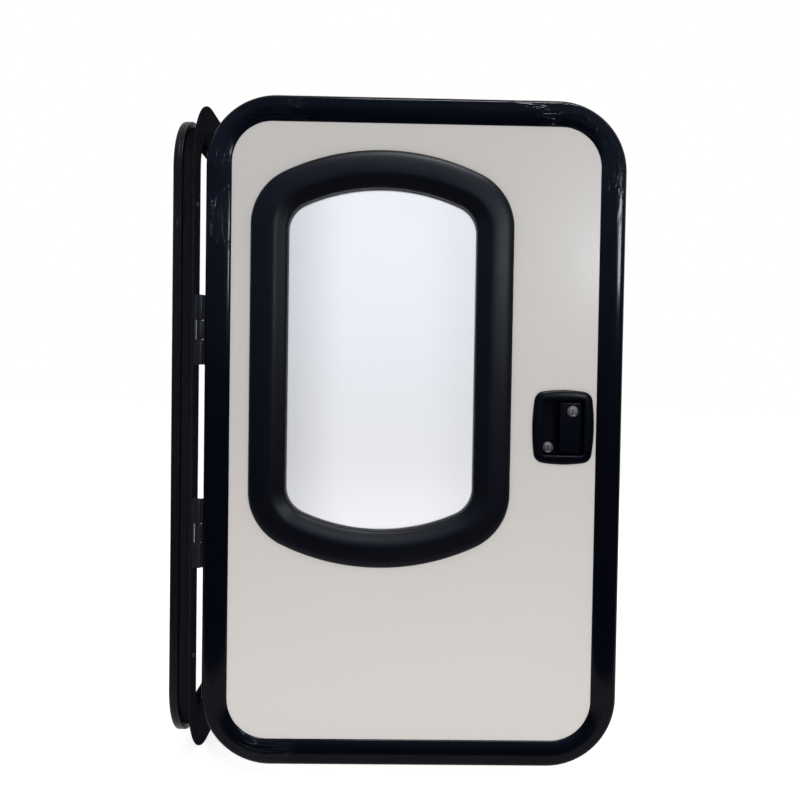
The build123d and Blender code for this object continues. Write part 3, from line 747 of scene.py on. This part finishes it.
# the two key cylinders, each with a rim, a plug and a key slot
keySlot = {"low": (-0.75, -2, -4.6), "high": (0.75, 3.2, 4.6), "round": 0.2 * mm}
keyRim = {"clearance": 0.12, "reach": 0.9}
keyAngle = 32
cylinders = {"paddle": {"holder": "paddle", "rimFoot": -5.0},
             "deadbolt": {"holder": "leaf", "rimFoot": -10.1}}
outward = Vector((0, -1, 0))
for name, key in cylinders.items():
    low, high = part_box(name + "_cylinder")
    at = Vector(((low.x + high.x) / 2, low.y, (low.z + high.z) / 2))  # middle of the front face
    r, back = (high.x - low.x) / 2 / mm, -(high.y - low.y) / mm
    key["at"], key["radius"] = at, r
    profile = [(0, back), (r - 0.4, back), (r, back + 0.4), (r, -1.0), (r - 0.25, -0.3), (r - 0.8, -0.05),
               (r - 1.5, 0.0), (r - 1.9, -0.3), (r - 2.2, -0.55), (r - 2.5, -0.4), (r - 3.0, -0.15),
               (r - 4.4, 0.0), (0, 0.0)]
    slotLow, slotHigh = (at + Vector(keySlot[end]) * mm for end in ("low", "high"))
    slot = roundedBox("keySlot", slotLow, slotHigh, keySlot["round"], 2)
    keyMesh = carve(turned("key", profile, at, outward, lock["keySteps"]), slot)
    newPiece(name + "KeyCylinder", keyMesh, name + "_key", "key", [name + "_cylinder"], keyAngle)
    inner, outer = r + keyRim["clearance"], r + keyRim["reach"]
    rim = [(inner, key["rimFoot"]), (outer, key["rimFoot"]), (outer, -1.0), (outer - 0.2, -0.55),
           (outer - 0.6, -0.35), (inner + 0.25, -0.4), (inner, -0.7)]
    rimMesh = turned(name + "KeyRim", rim, at, outward, lock["keySteps"], True)
    newPiece(name + "KeyRim", rimMesh, key["holder"], "key", (), keyAngle)

# finger tray: an open cup with a rounded foot and a boss round the lower cylinder
foot, wall = -lock["trayDepth"], lock["trayWall"]
traySection = [(0.0, foot - wall), (-wall + 0.8, foot - wall), (-wall, foot - wall + 0.8), (-wall, -0.05),
               (0.0, -0.05), (0.0, foot + 5.0), (0.35, foot + 3.0), (1.4, foot + 1.3), (3.0, foot + 0.35),
               (5.0, foot)]
points = []
for inset, height in traySection:
    corner = max(lock["mouthCorner"] - inset * mm, lock["footCorner"])
    halves = (half - inset * mm for half in lock["mouthHalves"])
    outline = roundedOutline(*halves, corner, lock["traySteps"])
    points += [onLock(u, v, height * mm) for u, v in outline]
trayMesh = meshFrom("tray", points, gridFaces(len(traySection), len(outline), capped=True))
boss = cylinders["deadbolt"]
r, bossFoot = boss["radius"] + lock["keySeat"], boss["rimFoot"]
bossProfile = [(r, bossFoot), (12.6, bossFoot), (11.6, -8.0), (11.2, -3.0), (10.8, -2.4), (r, -2.2)]
bossMesh = turned("boss", bossProfile, boss["at"], outward, lock["roundSteps"], True)
lockPiece("fingerTray", joinMeshes("fingerTray", [trayMesh, bossMesh]), "lock_tray")

# pull paddle: a rounded gripping edge on the left, a crowned face and rounded ends
paddleLow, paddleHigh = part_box("lock_paddle")
left, right = (paddleLow.x - lockX) / mm, (paddleHigh.x - lockX) / mm
front, back = (panelFront - paddleLow.y) / mm, (panelFront - paddleHigh.y) / mm
paddleEnd = (paddleHigh.z - paddleLow.z) / 2 / mm
paddleSection = smoothSection(
    [(left + 3.6, back + 1.4), (left + 1.0, back + 2.6), (left + 0.1, back + 4.6), (left + 0.1, front - 2.0),
     (left + 1.0, front - 0.5), (left + 2.8, front), (left + 5.0, front - 0.35), (left + 8.0, front - 0.75),
     (left + 13, front - 0.5), (left + 20, front - 0.2), (left + 27, front - 0.35),
     (right - 4.0, front - 1.0), (right - 1.2, front - 2.4), (right - 0.1, front - 4.4),
     (right - 0.6, back + 2.2), (right - 2.4, back + 0.4), (right - 6, back), (left + 8, back)], 4)
endShrink = [(0.0, 1.6), (0.25, 0.7), (0.7, 0.2), (1.9, 0.0)]  # distance from the end, and shrink
ends = [(-paddleEnd + inset, shrink) for inset, shrink in endShrink]
midU, midH = (left + right) / 2, (front + back) / 2
points = []
for z, shrink in ends + [(-z, shrink) for z, shrink in reversed(ends)]:
    for u, h in paddleSection:
        scale = 1 - shrink / math.hypot(u - midU, h - midH)
        points.append(onLock((midU + (u - midU) * scale) * mm, z * mm, (midH + (h - midH) * scale) * mm))
paddleFaces = gridFaces(2 * len(ends), len(paddleSection), capped=True)
paddleMesh = meshFrom("pullPaddle", points, paddleFaces)
r = cylinders["paddle"]["radius"] + lock["keySeat"]
holeProfile = [(0, -20), (r, -20), (r, 6), (0, 6)]
keyHole = turned("keyHole", holeProfile, cylinders["paddle"]["at"], outward, lock["keySteps"])
lockPiece("pullPaddle", carve(paddleMesh, keyHole), "lock_paddle", "paddle")

# inside of the lock: cover plate, lever and thumb turn
plateLow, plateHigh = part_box("lock_inner_plate")
plateFoot, plateTop = (panelFront - plateLow.y) / mm, (panelFront - plateHigh.y) / mm
plateHalves = acrossLeaf(plateLow, plateHigh)[2:]
plateOutline = bulgedOutline(*plateHalves, lock["bulge"], lock["corner"], lock["rays"])
plateSection = [(0, plateFoot - 0.05), (0, plateTop + 2.0), (0.5, plateTop + 0.9), (1.6, plateTop + 0.25),
                (3.5, plateTop)]
plateMesh = dome("innerLockPlate", plateOutline, plateSection, onLock)
lockPiece("innerLockPlate", plateMesh, "lock_inner_plate")
leverLow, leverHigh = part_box("inner_lever")
leverTop = (panelFront - leverHigh.y) / mm
leverX, leverZ, leverHalfWidth, leverHalfHeight = acrossLeaf(leverLow, leverHigh)
leverOutline = boxOutline(leverHalfWidth, leverHalfHeight, lock["leverCorner"], lock["leverRays"])
leverSection = smoothSection(
    [(1.5, plateTop - 0.05), (1.2, plateTop - 1.5), (0.2, plateTop - 3.5), (0.2, leverTop + 3.0),
     (1.2, leverTop + 1.2), (3.4, leverTop + 0.2), (6.0, leverTop), (8.5, leverTop + 0.5),
     (12.5, leverTop + 1.6)], closed=False)
leverMesh = dome("insideLever", leverOutline, leverSection, onLeaf(leverX, leverZ))
lockPiece("insideLever", leverMesh, "inner_lever")
turnLow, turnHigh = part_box("thumb_turn")
turnAt = Vector(((turnLow.x + turnHigh.x) / 2, turnLow.y, (turnLow.z + turnHigh.z) / 2))
r, top = (turnHigh.x - turnLow.x) / 2 / mm, (turnHigh.y - turnLow.y) / mm
turnProfile = [(0, 0.05), (r, 0.05), (r, 2.6), (r - 0.5, 3.4), (r - 1.6, 3.9), (0, 4.1)]
turnBase = turned("turnBase", turnProfile, turnAt, (0, 1, 0), lock["roundSteps"])
wingLow, wingHigh = Vector((-2.4, 3.5, 0.4 - r)), Vector((2.4, top, r - 0.4))
turnWing = roundedBox("turnWing", turnAt + wingLow * mm, turnAt + wingHigh * mm, 1.5 * mm, 4)
lockPiece("thumbTurn", joinMeshes("thumbTurn", [turnBase, turnWing]), "thumb_turn")
print("lock made")

# CAD nodes that keep their shape
dress("edge", "leaf_channel")
dress("flange", "frame_jamb")
dress("skin", "outer_skin", "inner_skin")
dress("foam", "panel_core")
dress("pane", "window_pane")
dress("lock", "paddle_pin")
dress("steel", "lock_case", "lock_faceplate", "latch_bolt", "deadbolt", "strike_plate")

# screws: pan heads with a cross recess, set on points that carry the way they face
screw = {"Head Radius": 3.4 * mm, "Head Height": 1.5 * mm, "Slot Width": 0.85 * mm, "Turn": 0.9}
screwSides = 20


def makeScrewTree(name, material):
    tree = bpy.data.node_groups.new(name, "GeometryNodeTree")
    tree.interface.new_socket("Geometry", in_out="INPUT", socket_type="NodeSocketGeometry")
    sizes = {}
    for label in screw:
        socket = tree.interface.new_socket(label, in_out="INPUT", socket_type="NodeSocketFloat")
        sizes[label] = socket.identifier
    tree.interface.new_socket("Geometry", in_out="OUTPUT", socket_type="NodeSocketGeometry")
    inside, outside = tree.nodes.new("NodeGroupInput"), tree.nodes.new("NodeGroupOutput")
    radius, height, slot, turn = (inside.outputs[label] for label in screw)

    def vector(x, y, z):
        return addNode(tree, "ShaderNodeCombineXYZ", {0: x, 1: y, 2: z})[0]

    def lifted(mesh, rise):
        links = {"Geometry": mesh, "Translation": vector(0.0, 0.0, rise)}
        return addNode(tree, "GeometryNodeTransform", links)[0]

    def cone(bottom, top, depth):
        links = {"Vertices": screwSides, "Radius Top": times(tree, radius, top),
                 "Radius Bottom": times(tree, radius, bottom), "Depth": times(tree, height, depth)}
        return addNode(tree, "GeometryNodeMeshCone", links)["Mesh"]

    head = tree.nodes.new("GeometryNodeMeshBoolean")
    head.operation = "UNION"
    tree.links.new(cone(1.0, 0.9, 0.55), head.inputs["Mesh 2"])
    tree.links.new(lifted(cone(0.9, 0.55, 0.45), times(tree, height, 0.55)), head.inputs["Mesh 2"])
    shape = head.outputs[0]
    long = times(tree, radius, 1.15)
    for size in (vector(long, slot, height), vector(slot, long, height)):
        blade = addNode(tree, "GeometryNodeMeshCube", {"Size": size})["Mesh"]
        links = {"Mesh 1": shape, "Mesh 2": lifted(blade, times(tree, height, 0.95))}
        shape = addNode(tree, "GeometryNodeMeshBoolean", links, operation="DIFFERENCE")[0]
    links, kind = {"Name": "facing"}, "FLOAT_VECTOR"
    facing = addNode(tree, "GeometryNodeInputNamedAttribute", links, data_type=kind)[0]
    aim = addNode(tree, "FunctionNodeAlignRotationToVector", {"Vector": facing}, axis="Z")[0]
    angle = times(tree, tree.nodes.new("GeometryNodeInputIndex").outputs[0], turn)
    roll = addNode(tree, "FunctionNodeAxisAngleToRotation", {"Axis": (0, 0, 1), "Angle": angle})[0]
    spun = addNode(tree, "FunctionNodeRotateRotation", {0: aim, 1: roll}, rotation_space="LOCAL")[0]
    points = addNode(tree, "GeometryNodeMeshToPoints", {"Mesh": inside.outputs["Geometry"]})[0]
    links = {"Points": points, "Instance": shape, "Rotation": spun}
    placed = addNode(tree, "GeometryNodeInstanceOnPoints", links)[0]
    real = addNode(tree, "GeometryNodeRealizeInstances", {"Geometry": placed})[0]
    done = addNode(tree, "GeometryNodeSetMaterial", {"Geometry": real, "Material": material})[0]
    tree.links.new(done, outside.inputs[0])
    return tree, sizes


def setScrews(name, body, places):
    # places are pairs of a point and the way its screw faces
    tree, sizes = makeScrewTree(name + "Tree", materials["screw"])
    seatMesh = meshFrom(name + "Seats", [point for point, way in places], [])
    facing = seatMesh.attributes.new("facing", "FLOAT_VECTOR", "POINT")
    for k, (point, way) in enumerate(places):
        facing.data[k].vector = way
    holder = addObject(name + "Holder", seatMesh)
    modifier = holder.modifiers.new("screws", "NODES")
    modifier.node_group = tree
    for label, value in screw.items():
        modifier[sizes[label]] = value
    mesh = finishedMesh(holder)
    holder.modifiers.remove(modifier)
    bpy.data.objects.remove(holder)
    mesh.validate()
    newPiece(name, mesh, body, "screw", smoothAngle=30)
    print(name, len(places), "screws,", len(mesh.polygons), "faces")


def alongLoop(outer, inner, share, spacing):
    # evenly spaced places on a loop part of the way between two outlines
    loop = [(u0 + (u1 - u0) * share, v0 + (v1 - v0) * share) for (u0, v0), (u1, v1) in zip(outer, inner)]
    loop.append(loop[0])
    lengths = [math.dist(a, b) for a, b in zip(loop, loop[1:])]
    step = sum(lengths) / round(sum(lengths) / spacing)
    places, walked, goal = [], 0.0, step / 2
    for (u0, v0), (u1, v1), length in zip(loop, loop[1:], lengths):
        while walked + length > goal:
            t = (goal - walked) / length
            places.append((u0 + (u1 - u0) * t, v0 + (v1 - v0) * t))
            goal += step
        walked += length
    return places


seats = {"flangeInset": 4 * mm, "flangeRise": 380 * mm, "flangeTop": 3.9 * mm, "clampInset": 25.0,
         "clampSpacing": 150 * mm, "trimInset": 30.0, "trimSpacing": 130 * mm, "trimTop": -32.7 * mm,
         "strikeRise": 57 * mm, "faceRise": 55 * mm, "plateX": 38 * mm, "plateZ": 47 * mm, "sink": 0.05 * mm}
alongX, alongY = Vector((1, 0, 0)), Vector((0, 1, 0))
signs = (-1, 1)
corners = [(first, second) for first in signs for second in signs]

flangeX, flangeY = seats["flangeTop"], leafHalfWidth - seats["flangeInset"]
frameSeats = [(onFrame(sy * flangeY, sz * seats["flangeRise"], flangeX), alongX) for sy, sz in corners]
clampLoop = alongLoop(leafOuter, ringInner, seats["clampInset"] / ringReach, seats["clampSpacing"])
frameSeats += [(onFrame(u, v, coverLow.x + screwGroove * mm), -alongX) for u, v in clampLoop]
strikeLow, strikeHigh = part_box("strike_plate")
strikeX, strikeZ = acrossLeaf(strikeLow, strikeHigh)[:2]
strikeY = strikeLow.y + seats["sink"]
frameSeats += [(Vector((strikeX, strikeY, strikeZ + s * seats["strikeRise"])), -alongY) for s in signs]
setScrews("frameScrews", "frame", frameSeats)

plateY = plateHigh.y - seats["sink"]
leafSeats = [(Vector((lockX + sx * seats["plateX"], plateY, lockZ + sz * seats["plateZ"])), alongY)
             for sx, sz in corners]
trimLoop = alongLoop(windowOuter, windowInner, seats["trimInset"] / window["face"], seats["trimSpacing"])
leafSeats += [(onWindow(u, v, seats["trimTop"]), alongY) for u, v in trimLoop]
faceLow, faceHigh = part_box("lock_faceplate")
faceX, faceY, faceZ = faceHigh.x - seats["sink"], (faceLow.y + faceHigh.y) / 2, (faceLow.z + faceHigh.z) / 2
leafSeats += [(Vector((faceX, faceY, faceZ + s * seats["faceRise"])), alongX) for s in signs]
setScrews("leafScrews", "leaf", leafSeats)

# stage: pale floor and white surroundings
studio = {"floorSize": 40.0, "floorGap": 1 * mm, "floorColour": (0.8, 0.8, 0.8, 1.0),
          "glowCentre": (0.3, -0.6), "nearGlow": 0.6, "farGlow": 0.66, "glowFrom": 0.4, "glowTo": 3.0,
          "worldLight": 0.46}
white = (1.0, 1.0, 1.0, 1.0)
floorZ = cadBox[0][2] - studio["floorGap"]
half = studio["floorSize"] / 2
floorPoints = [(-half, -half, floorZ), (half, -half, floorZ), (half, half, floorZ), (-half, half, floorZ)]
floorMesh = meshFrom("floor", floorPoints, [(0, 1, 2, 3)])
floor = addObject("floor", floorMesh)


def seenDirectly(tree):
    path = tree.nodes.new("ShaderNodeLightPath").outputs
    seen = mathNode(tree, "MAXIMUM", path["Is Camera Ray"], path["Is Glossy Ray"])
    return mathNode(tree, "MAXIMUM", seen, path["Is Transmission Ray"])


floorMaterial, tree, shader, coords = newMaterial(
    "paleFloor", Roughness=0.9, Specular_IOR_Level=0.0, Base_Color=studio["floorColour"],
    Emission_Color=white)
glowX, glowY = studio["glowCentre"]
away = vectorNode(tree, "LENGTH", vectorNode(tree, "ADD", coords, (-glowX, -glowY, -floorZ)))
glow = rangeNode(tree, away, studio["glowFrom"], studio["glowTo"], studio["nearGlow"], studio["farGlow"])
plug(tree, shader, Emission_Strength=times(tree, glow, seenDirectly(tree)))
floorMesh.materials.append(floorMaterial)

world = bpy.data.worlds.new("studioWorld")
scene.world = world
world.use_nodes = True
tree = world.node_tree
background = tree.nodes["Background"]
background.inputs["Color"].default_value = white
strength = rangeNode(tree, seenDirectly(tree), 0.0, 1.0, studio["worldLight"], smooth=False)
plug(tree, background, Strength=strength)

# card seen only in reflections, dark below and cool above, so that black stays black
card = {"halfWidth": 3.2, "back": -3.3, "front": -0.8, "high": 6.0, "lift": 0.4 * mm,
        "colour": (0.45, 0.62, 1.0, 1.0), "dimBelow": 0.2, "brightAbove": 1.6, "dim": 0.02, "bright": 0.95}
cardPoints = [(leafX + sx * card["halfWidth"], card[y], z) for z in (floorZ + card["lift"], card["high"])
              for y in ("back", "front") for sx in signs]
cardMesh = meshFrom("darkCard", cardPoints, [(0, 1, 3, 2), (0, 4, 5, 1), (1, 5, 7, 3), (0, 2, 6, 4)])
cardMaterial, tree, shader, coords = newMaterial(
    "darkCard", Roughness=1.0, Specular_IOR_Level=0.0, Base_Color=(0.0, 0.0, 0.0, 1.0),
    Emission_Color=card["colour"])
rise = splitNode(tree, coords)["Z"]
cardGlow = rangeNode(tree, rise, card["dimBelow"], card["brightAbove"], card["dim"], card["bright"])
plug(tree, shader, Emission_Strength=cardGlow)
cardMesh.materials.append(cardMaterial)
darkCard = addObject("darkCard", cardMesh)
darkCard.visible_camera = darkCard.visible_diffuse = False
darkCard.visible_transmission = darkCard.visible_shadow = False

# lamps: strips that only gloss shows, and panels that light only the matt side of surfaces
warm = (1.0, 0.98, 0.955)
lamps = {
    "ceilingStrip": {"at": (0.75, -1.5, 2.85), "to": (0.4, -0.36, 0.5), "size": (1.3, 0.3), "power": 78,
                     "colour": (0.92, 0.96, 1.0), "part": "glossy"},
    "rightStrip": {"at": (1.078, -1.5, 1.09), "to": (0.71, -0.36, 0.87), "size": (0.07, 0.28), "power": 8.5,
                   "colour": (0.88, 0.94, 1.0), "part": "glossy"},
    "frontPanel": {"at": (0.6, -2.9, 0.6), "to": (0.35, -0.35, 0.45), "size": (1.6, 1.4), "power": 35.5,
                   "colour": warm, "part": "diffuse"},
    "backPanel": {"at": (2.9, 2.3, 1.5), "to": (0.35, -0.3, 0.5), "size": (1.4, 1.4), "power": 30,
                  "colour": warm, "part": "diffuse"},
    "innerPanel": {"at": (-2.6, 1.0, 1.5), "to": (0.0, 0.0, 0.55), "size": (1.4, 1.4), "power": 40,
                   "colour": warm, "part": "diffuse"},
}
for name, lamp in lamps.items():
    light = bpy.data.lights.new(name, "AREA")
    light.shape = "RECTANGLE"
    light.size, light.size_y = lamp["size"]
    light.energy, light.color = lamp["power"], lamp["colour"]
    lampObject = addObject(name, light)
    lampObject.visible_glossy = lamp["part"] == "glossy"
    lampObject.visible_diffuse = lamp["part"] == "diffuse"
    lampObject.visible_transmission = False
    lampObject.location = lamp["at"]
    aim = Vector(lamp["to"]) - Vector(lamp["at"])
    lampObject.rotation_euler = aim.to_track_quat("-Z", "Y").to_euler()

# camera at the photograph's place
shot = {"at": (0.326, -1.671, 0.6455), "yaw": 0.95, "pitch": -1.37, "roll": 0.89, "sensor": 36,
        "focalShare": 785 / 800}
yaw, pitch, roll = (math.radians(shot[turn]) for turn in ("yaw", "pitch", "roll"))
forward = Vector((math.sin(yaw) * math.cos(pitch), math.cos(yaw) * math.cos(pitch), math.sin(pitch)))
rightWay = Vector((math.cos(yaw), -math.sin(yaw), 0))
upWay = rightWay.cross(forward)
rolledRight = math.cos(roll) * rightWay + math.sin(roll) * upWay
rolledUp = -math.sin(roll) * rightWay + math.cos(roll) * upWay
cameraData = bpy.data.cameras.new("camera")
cameraData.sensor_width = shot["sensor"]
cameraData.lens = shot["focalShare"] * shot["sensor"]
camera = addObject("camera", cameraData)
facingWay = Matrix((rolledRight, rolledUp, -forward)).transposed().to_4x4()
camera.matrix_world = Matrix.Translation(shot["at"]) @ facingWay
scene.camera = camera
scene.view_settings.view_transform = "Standard"

print("scene ready")
